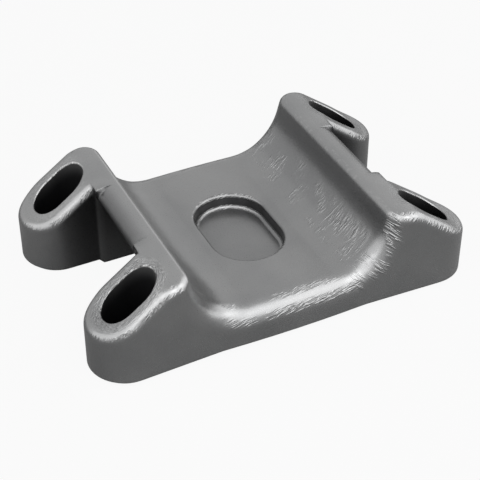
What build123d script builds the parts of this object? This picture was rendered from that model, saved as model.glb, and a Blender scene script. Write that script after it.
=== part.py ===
import os
from math import asin, atan, atan2, cos, degrees, hypot, radians, sin, tan

from build123d import *

# Clamp bolt slots, one in each ear
slot_spacing_x = 226.0
slot_spacing_y = 133.0
slot_width = 29.4
slot_length = 37.8
slot_edge_chamfer = 0.8

# Ears in plan, an even wall round the outer end of each slot
ear_wall = 12.1
foot_edge_chamfer = 3.6

# Waist of the plate in plan, a shallow bow set in from the ears
waist_half_span = 55.5
waist_inset = 2.3
waist_bow = 1.4
waist_blend_radius = 90.0

# Heights above the foot plane
floor_height = 29.5
crown_height = 71.1
crown_blend_radius = 24.0
slot_centre_height = 56.5

# Fall of the ear tops for each unit of reach, and the curve that eases it beyond the slots
ear_fall = 0.74
tip_curve_start = 127.5
tip_curve_radius = 32.0

# Axle trough
trough_flat_half = 34.2
trough_flank_radius = 40.3
trough_flank_turn = 74.0
front_rim_round = 15.5
back_rim_round = 12.5
ear_rim_round = 6.5

# Blind recess in the trough floor
recess_width = 53.6
recess_length = 79.8
recess_depth = 11.2
recess_rim_round = 3.0
recess_foot_round = 3.0

# Notch between the two ears of a side, and the rounded lip over it
notch_wall_reach = 95.5
lip_radius = 12.5
lip_half_length = 33.5

# Spring channel along the underside
spring_width = 76.2
spring_clearance = 0.4
mouth_flare_length = 6.5
seat_height = 9.0
seat_half_length = 56.5
lip_underside_height = 62.3
seat_blend_radius = 12.0

# How far a cutter runs past the face that it leaves
overrun = 5.0

slot_half_x = slot_spacing_x / 2
slot_half_y = slot_spacing_y / 2
slot_end_centre = slot_half_x + (slot_length - slot_width) / 2
ear_radius = slot_width / 2 + ear_wall
ear_reach = slot_end_centre + ear_radius
waist_reach = slot_half_y + ear_radius - waist_inset
notch_half = slot_half_y - ear_radius
channel_half = spring_width / 2 + spring_clearance
stock_height = crown_height + front_rim_round
stock_reach = ear_reach + overrun
stock_length = 2 * (slot_half_y + ear_radius + overrun)
sides = (1, -1)

# Where the straight upper flank of the trough starts, and where it meets the crown
flank_turn = radians(trough_flank_turn)
flank_centre = (trough_flat_half, floor_height + trough_flank_radius)
flank_end = (
    flank_centre[0] + trough_flank_radius * sin(flank_turn),
    flank_centre[1] - trough_flank_radius * cos(flank_turn),
)
crown_edge = flank_end[0] + (crown_height - flank_end[1]) / tan(flank_turn)

# Where the rounding of the lip starts on the crown
lip_start = notch_wall_reach - lip_radius


def along_axle(face, length):
    # A prism along Y, centred on the plate, of a face drawn in X and Z
    return extrude(Plane.XZ * face, length / 2, both=True)


def quarter_outline():
    # The side of the plate runs from the waist to touch the round end of the ear
    run_x = slot_end_centre - waist_half_span
    run_y = slot_half_y - waist_reach
    flare = atan2(run_y, run_x) + asin(ear_radius / hypot(run_x, run_y))
    touch = (
        slot_end_centre - ear_radius * sin(flare),
        slot_half_y + ear_radius * cos(flare),
    )
    return [
        Line((waist_half_span, waist_reach), touch),
        CenterArc((slot_end_centre, slot_half_y), ear_radius, -90, 180 + degrees(flare)),
        Line((slot_end_centre, notch_half), (notch_wall_reach, notch_half)),
    ]


def plan_outline():
    quarter = Curve() + quarter_outline()
    half = quarter + mirror(quarter, about=Plane.YZ)
    half += ThreePointArc(
        (-waist_half_span, waist_reach),
        (0, waist_reach + waist_bow),
        (waist_half_span, waist_reach),
    )
    outline = half + mirror(half, about=Plane.XZ)
    for side in sides:
        wall_x = side * notch_wall_reach
        outline += Line((wall_x, -notch_half), (wall_x, notch_half))
    face = make_face(outline.edges())
    waists = face.vertices().filter_by(lambda v: abs(abs(v.X) - waist_half_span) < 1e-3)
    return fillet(waists, waist_blend_radius)


def trough_stock():
    mouth_x = flank_end[0] + (stock_height - flank_end[1]) / tan(flank_turn)
    half = Curve() + [
        Line((0, floor_height), (trough_flat_half, floor_height)),
        CenterArc(flank_centre, trough_flank_radius, -90, trough_flank_turn),
        Line(flank_end, (mouth_x, stock_height)),
        Line((mouth_x, stock_height), (0, stock_height)),
    ]
    profile = half + mirror(half, about=Plane.YZ)
    return along_axle(make_face(profile.edges()), stock_length)


def trough_rim(body, side):
    # The edge of the trough on one face of the plate, from one stock top to the other
    return body.edges().filter_by(
        lambda e: side * e.center().Y > waist_reach - front_rim_round
        and floor_height - 1e-3 < e.center().Z < stock_height - 1e-3
        and abs(e.center().X) < crown_edge + front_rim_round
        and abs(e.tangent_at(0.5).Z) < 0.999
    )


def above_ears():
    # What lies above the flat crowns and the ear tops, which fall straight and then ease off
    knee = (slot_half_x - (crown_height - slot_centre_height) / ear_fall, crown_height)
    fall_end = (tip_curve_start, slot_centre_height - ear_fall * (tip_curve_start - slot_half_x))
    tip_curve = JernArc(fall_end, (1, -ear_fall), tip_curve_radius, degrees(atan(ear_fall)))
    level = tip_curve @ 1
    far_x = level.X + stock_reach
    top = stock_height + overrun
    outline = Curve() + [
        Polyline((0, top), (0, crown_height), knee, fall_end),
        tip_curve,
        Polyline(level, (far_x, level.Y), (far_x, top), (0, top)),
    ]
    face = make_face(outline.edges())
    face = fillet(face.vertices().sort_by_distance(knee)[0], crown_blend_radius)
    right = along_axle(face, stock_length)
    return right + mirror(right, about=Plane.YZ)


def ear_rims(body):
    # The outer edges of the crowns and ear tops, but for the edge over the notch wall
    tops = [f for f in body.faces() if f.normal_at().Z > 0.7 and abs(f.center().X) > crown_edge]
    edges = [edge for face in tops for edge in face.edges()]
    outer = [edge for edge in edges if sum(edge.is_same(other) for other in edges) == 1]
    return [e for e in outer if abs(e.center().Y) > lip_half_length or abs(e.center().X) < lip_start]


def above_lip(side):
    centre_z = crown_height - lip_radius
    outside_x = notch_wall_reach + overrun
    outside_z = crown_height + overrun
    outline = Curve() + [
        CenterArc((lip_start, centre_z), lip_radius, 0, 90),
        Polyline(
            (lip_start, crown_height),
            (lip_start, outside_z),
            (outside_x, outside_z),
            (outside_x, centre_z),
            (notch_wall_reach, centre_z),
        ),
    ]
    right = along_axle(make_face(outline.edges()), 2 * lip_half_length)
    return right if side > 0 else mirror(right, about=Plane.YZ)


def spring_channel():
    # In plan, a straight strip whose mouths flare to the width of the notch
    flare_x = notch_wall_reach - mouth_flare_length
    quarter = Curve() + [
        Line((0, channel_half), (flare_x, channel_half)),
        TangentArc((flare_x, channel_half), (notch_wall_reach, notch_half), tangent=(1, 0)),
        Line((notch_wall_reach, notch_half), (stock_reach, notch_half)),
        Line((stock_reach, notch_half), (stock_reach, 0)),
    ]
    half = quarter + mirror(quarter, about=Plane.YZ)
    strip = make_face((half + mirror(half, about=Plane.XZ)).edges())

    # In side view, a flat spring seat that rises on both sides to the lips
    rise = (lip_underside_height - seat_height) / (notch_wall_reach - seat_half_length)
    far_height = seat_height + rise * (stock_reach - seat_half_length)
    corners = [
        (-stock_reach, -overrun),
        (stock_reach, -overrun),
        (stock_reach, far_height),
        (seat_half_length, seat_height),
        (-seat_half_length, seat_height),
        (-stock_reach, far_height),
    ]
    face = make_face(Polyline(*corners, close=True))
    seat_ends = face.vertices().filter_by(lambda v: abs(v.Y - seat_height) < 1e-3)
    arch = along_axle(fillet(seat_ends, seat_blend_radius), stock_length)
    return arch & extrude(strip, 2 * stock_height, both=True)


def with_bolt_slots(body):
    tool = extrude(SlotOverall(slot_length, slot_width), stock_height)
    places = GridLocations(slot_spacing_x, slot_spacing_y, 2, 2)
    cut = body - [place * tool for place in places]
    mouths = new_edges(body, combined=cut).filter_by(
        lambda e: e.center().Z > overrun and abs(e.tangent_at(0.5).Z) < 0.999
    )
    return chamfer(mouths, slot_edge_chamfer)


def rolled(body, edges, radius):
    # Level square edges rounded in three flats that touch the same arc
    turn = radians(90 / 4)
    once = chamfer(edges, radius * (1 - tan(turn)))
    borders = new_edges(body, combined=once).filter_by(lambda e: abs(e.tangent_at(0.5).Z) < 1e-3)
    return chamfer(borders, radius * (tan(turn) - tan(turn / 2)))


def with_recess(body):
    foot = floor_height - recess_depth
    plan = Pos(0, 0, foot) * Rot(0, 0, 90) * SlotOverall(recess_length, recess_width)
    tool = extrude(plan, recess_depth + overrun)
    tool = rolled(tool, tool.edges().group_by(Axis.Z)[0], recess_foot_round)
    cut = body - tool
    rim = new_edges(body, combined=cut).group_by(Axis.Z)[-1]
    return rolled(cut, rim, recess_rim_round)


plate = extrude(plan_outline(), stock_height)
plate = chamfer(plate.edges().group_by(Axis.Z)[0], foot_edge_chamfer) - trough_stock()
plate = fillet(trough_rim(plate, -1), front_rim_round)
plate = fillet(trough_rim(plate, 1), back_rim_round) - above_ears()
plate = fillet(ear_rims(plate), ear_rim_round)
plate = with_bolt_slots(plate)
plate = with_recess(plate)
plate -= [above_lip(side) for side in sides]
plate -= spring_channel()

os.makedirs("parts", exist_ok=True)
export_step(plate.solid(), "parts/torque_plate.step")
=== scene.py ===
from functools import reduce
from math import cos, radians, sin

import bpy
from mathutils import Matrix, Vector


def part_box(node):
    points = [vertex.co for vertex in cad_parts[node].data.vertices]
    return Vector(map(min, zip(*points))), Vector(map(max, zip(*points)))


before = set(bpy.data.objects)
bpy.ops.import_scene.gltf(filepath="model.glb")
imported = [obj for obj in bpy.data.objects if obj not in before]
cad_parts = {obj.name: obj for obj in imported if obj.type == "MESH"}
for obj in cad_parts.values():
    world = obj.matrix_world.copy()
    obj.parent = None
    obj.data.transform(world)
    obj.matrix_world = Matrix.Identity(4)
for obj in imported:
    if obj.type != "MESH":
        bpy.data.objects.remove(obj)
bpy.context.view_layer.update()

print("frame loaded:", sorted(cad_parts))


# Node helpers

def newMaterial(name):
    material = bpy.data.materials.new(name)
    material.use_nodes = True
    material.node_tree.nodes.clear()
    return material


class NodeBuilder:
    def __init__(self, tree):
        self.tree = tree

    def add(self, kind, label="", **settings):
        node = self.tree.nodes.new(kind)
        node.label = label
        for key, value in settings.items():
            setattr(node, key, value)
        return node

    def feed(self, node, **values):
        # A key is an input's name, or s and its number. A value may be another node's output
        for key, value in values.items():
            number = key[1:]
            socket = node.inputs[int(number) if number.isdigit() else key.replace("_", " ")]
            if isinstance(value, bpy.types.NodeSocket):
                self.tree.links.new(value, socket)
            else:
                socket.default_value = value
        return node

    def math(self, operation, a, b=0.0):
        return self.feed(self.add("ShaderNodeMath", operation=operation), s0=a, s1=b).outputs[0]

    def both(self, a, b):
        return self.math("MULTIPLY", a, b)

    def either(self, a, b):
        return self.math("MAXIMUM", a, b)

    def vector(self, operation, a, b=(0.0, 0.0, 0.0)):
        node = self.add("ShaderNodeVectorMath", operation=operation)
        return self.feed(node, s0=a, s1=b).outputs[0]

    def span(self, value, low, high, start=0.0, end=1.0):
        node = self.add("ShaderNodeMapRange", interpolation_type="SMOOTHSTEP")
        return self.feed(node, s0=value, s1=low, s2=high, s3=start, s4=end).outputs[0]

    def within(self, value, low, lowFull, highFull=None, high=None):
        # Goes from 0 at low to 1 at lowFull and, with four limits, from 1 at highFull to 0 at high
        risen = self.span(value, low, lowFull)
        return risen if high is None else self.both(risen, self.span(value, high, highFull))

    def noise(self, place, label, scale, detail=3.0, roughness=0.5, distortion=0.0):
        node = self.feed(self.add("ShaderNodeTexNoise", label), Vector=place, Scale=scale)
        self.feed(node, Detail=detail, Roughness=roughness, Distortion=distortion)
        return node.outputs["Fac"]

    def mix(self, share, a, b):
        return self.feed(self.add("ShaderNodeMix"), s0=share, s2=a, s3=b).outputs[0]

    def mixColour(self, share, a, b):
        node = self.add("ShaderNodeMix", data_type="RGBA")
        return self.feed(node, s0=share, s6=a, s7=b).outputs[2]

    def bump(self, label, height, distance, normal):
        node = self.feed(self.add("ShaderNodeBump", label), Height=height, Distance=distance)
        return self.feed(node, Strength=1.0, Normal=normal).outputs[0]


# The four cored slots: their sizes in metres, a painted shade inside them and a painted highlight along
# their edge

slotSettings = {
    "centre": (0.113, 0.0665, 0.0),
    "halfStraight": 0.0042,
    "halfWidth": 0.0147,
    "mouthHeight": 0.0565,
    "earFall": 0.74,
    "edgeWidth": 0.0006,
    "edgeHighlightColour": (0.40, 0.40, 0.40, 1.0),
    "blend": 0.0002,
    "slotShadeColour": (0.022, 0.022, 0.023, 1.0),
    "slotInsideRoughness": 0.6,
    "shareAtMouth": 0.68,
    "fullDepth": 0.014,
}


class SkinBuilder(NodeBuilder):
    # Measures each point of the casting's skin, so that a finish can be kept to its own places
    def __init__(self, tree):
        super().__init__(tree)
        self.place = self.add("ShaderNodeTexCoord").outputs["Object"]
        normal = self.add("ShaderNodeNewGeometry").outputs["Normal"]
        x, y, z = self.feed(self.add("ShaderNodeSeparateXYZ", "place"), Vector=self.place).outputs
        facing = self.feed(self.add("ShaderNodeSeparateXYZ", "facing"), Vector=normal).outputs
        self.measures = {
            "x": x,
            "y": y,
            "z": z,
            "reach": self.math("ABSOLUTE", x),
            "along": self.math("ABSOLUTE", y),
            "upward": facing[2],
            "endward": self.math("ABSOLUTE", facing[1]),
            "fromSlot": self.fromSlotLine(slotSettings),
        }

    def fromSlotLine(self, slot):
        # Distance in plan from the short centre line of the nearest of the four slots
        quarter = self.vector("ABSOLUTE", self.place)
        offset = self.vector("ABSOLUTE", self.vector("SUBTRACT", quarter, slot["centre"]))
        past = self.vector("SUBTRACT", offset, (slot["halfStraight"], 0.0, 0.0))
        past = self.vector("MAXIMUM", past, (0.0, 0.0, 0.0))
        flat = self.vector("MULTIPLY", past, (1.0, 1.0, 0.0))
        length = self.add("ShaderNodeVectorMath", "from slot line", operation="LENGTH")
        return self.feed(length, s0=flat).outputs["Value"]

    def mask(self, **limits):
        # 1 where each measure is within its limits, in metres for a place and as a share for a direction.
        # A measure may have a list of such limits, and is then within any one of them
        shares = []
        for name, ends in limits.items():
            choices = ends if isinstance(ends, list) else [ends]
            spans = [self.within(self.measures[name], *choice) for choice in choices]
            shares.append(reduce(self.either, spans))
        return reduce(self.both, shares)


# Cast iron: a grey satin skin with a fine grain over slow waves

castIron = {
    "baseDark": (0.236, 0.238, 0.240, 1.0),
    "baseLight": (0.266, 0.267, 0.268, 1.0),
    "clouds": {"scale": 22.0, "distortion": 0.3},
    "cloudLimits": (0.3, 0.7),
    "metallic": 0.9,
    "specularLevel": 0.5,
    "roughness": 0.30,
    "roughnessSpread": 0.06,
    "roughnessLimits": (0.3, 0.7),
    "waves": {"scale": 45.0, "detail": 2.0},
    "waveHeight": 0.0003,
    "grain": {"scale": 1500.0, "roughness": 0.6},
    "grainHeight": 0.00003,
}

# Arrises are softened, and most of all away from the slots and the recess
softening = {
    "edgeRound": 0.0014,
    "rimRound": 0.0040,
    "beyondRecess": (0.040, 0.060),
    "beyondSlotEdge": (0.005, 0.009),
    "samples": 8,
}


def skinColour(n, settings):
    cloud = n.noise(n.place, "slow clouds of tone", **settings["clouds"])
    light = n.span(cloud, *settings["cloudLimits"])
    return n.mixColour(light, settings["baseDark"], settings["baseLight"])


def skinRoughness(n, grain, settings):
    spread = settings["roughnessSpread"] / 2
    smooth, rough = settings["roughness"] - spread, settings["roughness"] + spread
    return n.span(grain, *settings["roughnessLimits"], smooth, rough)


def softenedNormal(n, settings):
    slotEdge = slotSettings["halfWidth"]
    beyondSlots = tuple(slotEdge + step for step in settings["beyondSlotEdge"])
    awayFromMouths = n.mask(fromSlot=beyondSlots, reach=settings["beyondRecess"])
    soft = n.span(awayFromMouths, 0.0, 1.0, settings["edgeRound"], settings["rimRound"])
    bevel = n.add("ShaderNodeBevel", "edges softened", samples=settings["samples"])
    return n.feed(bevel, Radius=soft).outputs[0]


# Wrinkles in the skin of the trough's right flank and on the rounded rims. A field is noise in flat
# layers, given by the direction across them and by how close, how drawn out and how high its lines are

lowAndTopBorder = [(0.24, 0.36, 0.56, 0.72), (0.84, 0.91, 0.975, 0.992)]

wrinkles = {
    "flank": {
        "across": (0.49, -0.68, -0.51),
        "scale": 820.0,
        "stretch": 0.16,
        "height": 0.00036,
        "where": {"x": (0.041, 0.049, 0.063, 0.070), "endward": (0.35, 0.10)},
    },
    "rimCorner": {
        "across": (0.69, 0.20, 0.71),
        "scale": 700.0,
        "stretch": 0.14,
        "height": 0.00042,
        "where": {
            "x": (0.040, 0.056, 0.076, 0.084),
            "endward": (0.12, 0.28),
            "upward": (0.0, 0.12, 0.97, 0.992),
        },
    },
    "rimMiddle": {
        "across": (0.16, -0.59, -0.59),
        "scale": 900.0,
        "stretch": 0.12,
        "height": 0.00028,
        "where": {
            "x": (-0.060, -0.045, 0.040, 0.056),
            "endward": (0.08, 0.20),
            "upward": lowAndTopBorder,
        },
    },
    "earRims": {
        "across": (0.63, -0.58, -0.32),
        "scale": 820.0,
        "stretch": 0.18,
        "height": 0.00036,
        "where": {"reach": (0.076, 0.084), "endward": (0.08, 0.20), "upward": lowAndTopBorder},
    },
}

# What the fields share: the run of a wrinkle, and the patches in which they come and go
wrinkleShape = {
    "lines": {"detail": 1.5, "distortion": 0.5},
    "lineLimits": (0.42, 0.66),
    "patches": {"scale": 42.0, "detail": 2.0, "roughness": 0.55},
    "patchLimits": (0.38, 0.52),
}


def wrinkleLines(n, name, field):
    # Turned so that the direction across the layers is upright, then drawn out along the other two
    turn = Vector(field["across"]).rotation_difference(Vector((0, 0, 1))).to_euler()
    turned = n.feed(n.add("ShaderNodeMapping", "turn " + name), Vector=n.place, Rotation=turn)
    drawOut = (field["stretch"], field["stretch"], 1.0)
    drawn = n.add("ShaderNodeMapping", "draw out " + name)
    n.feed(drawn, Vector=turned.outputs[0], Scale=drawOut)
    lines = n.noise(drawn.outputs[0], name + " lines", field["scale"], **wrinkleShape["lines"])
    return n.span(lines, *wrinkleShape["lineLimits"])


def withWrinkles(n, normal, patchy):
    for name, field in wrinkles.items():
        share = n.both(n.mask(**field["where"]), patchy)
        height = n.both(wrinkleLines(n, name, field), share)
        normal = n.bump(name + " wrinkles", height, field["height"], normal)
    return normal


# Fine rings beside the slots, whole on the front left ear and faint in the wrinkled patches elsewhere

slotRings = {
    "noise": {"scale": 1400.0, "detail": 1.5, "distortion": 0.3},
    "drawOut": 0.25,
    "lineLimits": (0.36, 0.64),
    "height": 0.00040,
    "fromEdge": (0.0, 0.001, 0.004, 0.0095),
    "plainEar": {"x": (-0.080, -0.090), "y": (-0.040, -0.050)},
    "shareElsewhere": 0.35,
}


def withSlotRings(n, normal, patchy, settings):
    measures = n.measures
    acrossX, acrossY = (n.both(measures[axis], settings["drawOut"]) for axis in "xy")
    ringPlace = n.add("ShaderNodeCombineXYZ", "rings")
    n.feed(ringPlace, X=measures["fromSlot"], Y=acrossX, Z=acrossY)
    rings = n.noise(ringPlace.outputs[0], "ring lines", **settings["noise"])
    besideSlot = tuple(slotSettings["halfWidth"] + step for step in settings["fromEdge"])
    faint = n.both(patchy, settings["shareElsewhere"])
    share = n.both(n.mask(fromSlot=besideSlot), n.either(n.mask(**settings["plainEar"]), faint))
    height = n.both(n.span(rings, *settings["lineLimits"]), share)
    return n.bump("rings round slots", height, settings["height"], normal)


def withSlots(n, colour, inSlot, settings):
    # A painted highlight: a light line along the slot edge
    edgeEnd = settings["halfWidth"] + settings["edgeWidth"]
    onEdgeHighlight = n.mask(fromSlot=(edgeEnd + settings["blend"], edgeEnd))
    colour = n.mixColour(onEdgeHighlight, colour, settings["edgeHighlightColour"])
    # Painted shade inside the slot: lighter near the mouth, whose height falls with the ear top, and
    # darkest deeper in
    past = n.math("SUBTRACT", n.measures["reach"], settings["centre"][0])
    mouth = n.math("ADD", n.both(past, -settings["earFall"]), settings["mouthHeight"])
    depth = n.math("SUBTRACT", mouth, n.measures["z"])
    share = n.span(depth, 0.0, settings["fullDepth"], settings["shareAtMouth"], 1.0)
    return n.mixColour(n.both(inSlot, share), colour, settings["slotShadeColour"])


# Painted highlights as thin light lines: along the inner edges of the crowns, whole on the left and
# in marks on the right, and along the front border of the left flank

paintedHighlightLines = {
    "colour": (0.38, 0.38, 0.38, 1.0),
    "share": 0.9,
    "crownEdge": {"reach": (0.0755, 0.0765, 0.0785, 0.0795), "z": (0.066, 0.068)},
    "wholeSide": {"x": (0.0, -0.01)},
    "marks": {"scale": 300.0, "detail": 2.0, "roughness": 0.6},
    "markLimits": (0.56, 0.62),
    "markShare": 0.30,
    "flankFront": {
        "x": (-0.080, -0.077, -0.062, -0.058),
        "y": (-0.0717, -0.0711, -0.0699, -0.0693),
        "z": (0.030, 0.034),
    },
}


def withPaintedHighlightLines(n, colour, settings):
    # Painted highlight lines along the crown edges and the front border of the left flank
    marks = n.noise(n.place, "marks on the edge", **settings["marks"])
    marks = n.span(marks, *settings["markLimits"], 0.0, settings["markShare"])
    wholeOrMarks = n.either(n.mask(**settings["wholeSide"]), marks)
    crownLine = n.both(n.mask(**settings["crownEdge"]), wholeOrMarks)
    highlightLines = n.either(crownLine, n.mask(**settings["flankFront"]))
    return n.mixColour(n.both(highlightLines, settings["share"]), colour, settings["colour"])


# Painted shade: near-black mixed in between the ears, under the lips and, by ambient occlusion, in
# corners that lie closed in. The recess and the open faces of the trough get less of it

paintedShade = {
    "colour": (0.008, 0.008, 0.009, 1.0),
    "openReach": 0.15,
    "openPower": 1.5,
    "samples": 12,
    "notch": {
        "reach": (0.0935, 0.0955, 0.102, 0.132),
        "along": (0.0412, 0.0392),
        "upward": (0.70, 0.40),
    },
    "notchShare": 0.8,
    "lip": {"reach": (0.0825, 0.0945), "along": (0.043, 0.022), "z": (0.055, 0.060)},
    "lipShare": 0.55,
    "recess": {
        "reach": (0.034, 0.031),
        "z": (0.013, 0.016, 0.0245, 0.0262),
        "upward": (0.05, 0.40),
    },
    "recessUnshaded": 0.72,
    "trough": {"z": (0.0290, 0.0296), "reach": (0.0775, 0.0760)},
    "levelFaces": {"upward": (0.60, 0.90)},
    "leftFlank": {"x": (-0.030, -0.050), "upward": (0.15, 0.40)},
    "troughUnshaded": 0.88,
}


def withPaintedShade(n, colour, settings):
    black = settings["colour"]
    # Painted shade between the ears and under the lips
    for part in ("notch", "lip"):
        share = n.both(n.mask(**settings[part]), settings[part + "Share"])
        colour = n.mixColour(share, colour, black)
    # Painted shade from ambient occlusion, darkest where the skin lies closed in
    openness = n.add("ShaderNodeAmbientOcclusion", "how open the skin lies", only_local=True)
    openness.samples = settings["samples"]
    n.feed(openness, Distance=settings["openReach"])
    unshaded = n.math("POWER", openness.outputs["AO"], settings["openPower"])
    openFaces = n.either(n.mask(**settings["levelFaces"]), n.mask(**settings["leftFlank"]))
    inTrough = n.both(n.mask(**settings["trough"]), openFaces)
    unshaded = n.either(unshaded, n.both(n.mask(**settings["recess"]), settings["recessUnshaded"]))
    unshaded = n.either(unshaded, n.both(inTrough, settings["troughUnshaded"]))
    return n.mixColour(unshaded, black, colour)


def makeCastIron(settings):
    material = newMaterial("castIron")
    n = SkinBuilder(material.node_tree)
    mouth = slotSettings["halfWidth"]
    inSlot = n.mask(fromSlot=(mouth + slotSettings["blend"], mouth))
    patches = n.noise(n.place, "where wrinkles show", **wrinkleShape["patches"])
    patchy = n.span(patches, *wrinkleShape["patchLimits"])
    waves = n.noise(n.place, "slow waves of the skin", **settings["waves"])
    grain = n.noise(n.place, "sand grain", **settings["grain"])

    normal = n.bump("waves", waves, settings["waveHeight"], softenedNormal(n, softening))
    normal = n.bump("grain", grain, settings["grainHeight"], normal)
    normal = withWrinkles(n, normal, patchy)
    normal = withSlotRings(n, normal, patchy, slotRings)

    # The slots get a painted shade inside and a painted highlight on their edge
    colour = withSlots(n, skinColour(n, settings), inSlot, slotSettings)
    # Painted highlight lines along the crown edges and the left flank
    colour = withPaintedHighlightLines(n, colour, paintedHighlightLines)
    # Painted shade in the notch, under the lips and in closed-in corners
    colour = withPaintedShade(n, colour, paintedShade)
    rough = n.mix(inSlot, skinRoughness(n, grain, settings), slotSettings["slotInsideRoughness"])

    shader = n.add("ShaderNodeBsdfPrincipled", "cast iron")
    n.feed(shader, Metallic=settings["metallic"], Specular_IOR_Level=settings["specularLevel"])
    n.feed(shader, Base_Color=colour, Roughness=rough, Normal=normal)
    n.feed(n.add("ShaderNodeOutputMaterial"), Surface=shader.outputs[0])
    return material


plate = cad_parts["torque_plate"]
plate.data.materials.clear()
plate.data.materials.append(makeCastIron(castIron))
print("cast iron on", plate.name, len(plate.data.polygons), "faces")


# Pale floor that keeps the soft shadow, and an even pale surround. Both look white to the camera

studio = {
    "floorSize": 12.0,
    "floorGap": 0.0002,
    "floorColour": (0.30, 0.30, 0.30, 1.0),
    "bounceColour": (0.20, 0.20, 0.20, 1.0),
    "white": (1.0, 1.0, 1.0, 1.0),
    "floorWhiteShare": 0.93,
    "worldLight": 0.15,
    "worldWhite": 1.0,
}


def seenDirectly(n):
    # 1 for what the camera sees, also in a reflection or through glass
    path = n.add("ShaderNodeLightPath")
    seen = n.either(path.outputs["Is Camera Ray"], path.outputs["Is Glossy Ray"])
    return n.either(seen, path.outputs["Is Transmission Ray"])


def makeFloor(settings):
    # The floor lies a hair under the plate's foot, so that the two never share a plane
    half, under = settings["floorSize"] / 2, -settings["floorGap"]
    mesh = bpy.data.meshes.new("floor")
    corners = [(-half, -half, under), (half, -half, under), (half, half, under), (-half, half, under)]
    mesh.from_pydata(corners, [], [(0, 1, 2, 3)])
    floor = bpy.data.objects.new("floor", mesh)
    bpy.context.scene.collection.objects.link(floor)

    material = newMaterial("paleFloor")
    n = NodeBuilder(material.node_tree)
    colour = n.mixColour(seenDirectly(n), settings["bounceColour"], settings["floorColour"])
    plain = n.feed(n.add("ShaderNodeBsdfDiffuse"), Color=colour)
    white = n.feed(n.add("ShaderNodeEmission"), Color=settings["white"], Strength=1.0)
    direct = n.add("ShaderNodeLightPath").outputs["Is Camera Ray"]
    share = n.both(direct, settings["floorWhiteShare"])
    mixed = n.feed(n.add("ShaderNodeMixShader"), s0=share, s1=plain.outputs[0], s2=white.outputs[0])
    n.feed(n.add("ShaderNodeOutputMaterial"), Surface=mixed.outputs[0])
    mesh.materials.append(material)


def makeWorld(settings):
    world = bpy.data.worlds.new("paleRoom")
    bpy.context.scene.world = world
    world.use_nodes = True
    world.node_tree.nodes.clear()
    n = NodeBuilder(world.node_tree)
    level = n.span(seenDirectly(n), 0.0, 1.0, settings["worldLight"], settings["worldWhite"])
    background = n.feed(n.add("ShaderNodeBackground"), Color=settings["white"], Strength=level)
    n.feed(n.add("ShaderNodeOutputWorld"), Surface=background.outputs[0])


makeFloor(studio)
makeWorld(studio)
print("floor and surround made")


# Softboxes aimed at the middle of the plate. Turn runs from the front towards the right, rise upwards

softboxes = {
    "frontRightBox": {"turn": 35.0, "rise": 48.0, "distance": 1.5, "size": (1.87, 1.21), "power": 15.5},
    "frontLeftBox": {"turn": -30.0, "rise": 48.0, "distance": 1.5, "size": (1.87, 1.21), "power": 14.0},
    "leftBox": {"turn": -92.0, "rise": 34.0, "distance": 1.5, "size": (1.6, 1.34), "power": 9.0},
    "rightBox": {"turn": 88.0, "rise": 27.0, "distance": 1.5, "size": (1.6, 1.34), "power": 12.0},
}


def standOff(thing, aim, turn, rise, distance):
    # Puts a lamp or camera at a distance from its aim, turned to look back at it
    turn, rise = radians(turn), radians(rise)
    away = Vector((sin(turn) * cos(rise), -cos(turn) * cos(rise), sin(rise)))
    thing.location = aim + away * distance
    thing.rotation_euler = away.to_track_quat("Z", "Y").to_euler()
    bpy.context.scene.collection.objects.link(thing)


def makeSoftbox(name, settings, aim):
    lamp = bpy.data.lights.new(name, "AREA")
    lamp.shape = "RECTANGLE"
    lamp.size, lamp.size_y = settings["size"]
    lamp.energy = settings["power"]
    box = bpy.data.objects.new(name, lamp)
    standOff(box, aim, settings["turn"], settings["rise"], settings["distance"])


lowCorner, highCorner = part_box("torque_plate")
plateCentre = (lowCorner + highCorner) / 2
for name, settings in softboxes.items():
    makeSoftbox(name, settings, plateCentre)
print("softboxes:", ", ".join(softboxes))


# Camera on the photograph's line of sight, from the left of the front

cameraSettings = {
    "turn": -26.06,
    "rise": 37.75,
    "distance": 0.9744,
    "aim": (-0.00784, -0.01767, 0.03154),
    "sensorWidth": 36.0,
    "lens": 101.89,
}


def makeCamera(settings):
    data = bpy.data.cameras.new("camera")
    data.sensor_width = settings["sensorWidth"]
    data.lens = settings["lens"]
    camera = bpy.data.objects.new("camera", data)
    standOff(camera, Vector(settings["aim"]), settings["turn"], settings["rise"], settings["distance"])
    bpy.context.scene.camera = camera


makeCamera(cameraSettings)
bpy.context.scene.view_settings.view_transform = "Standard"
print("camera at", [round(c, 3) for c in bpy.context.scene.camera.location])
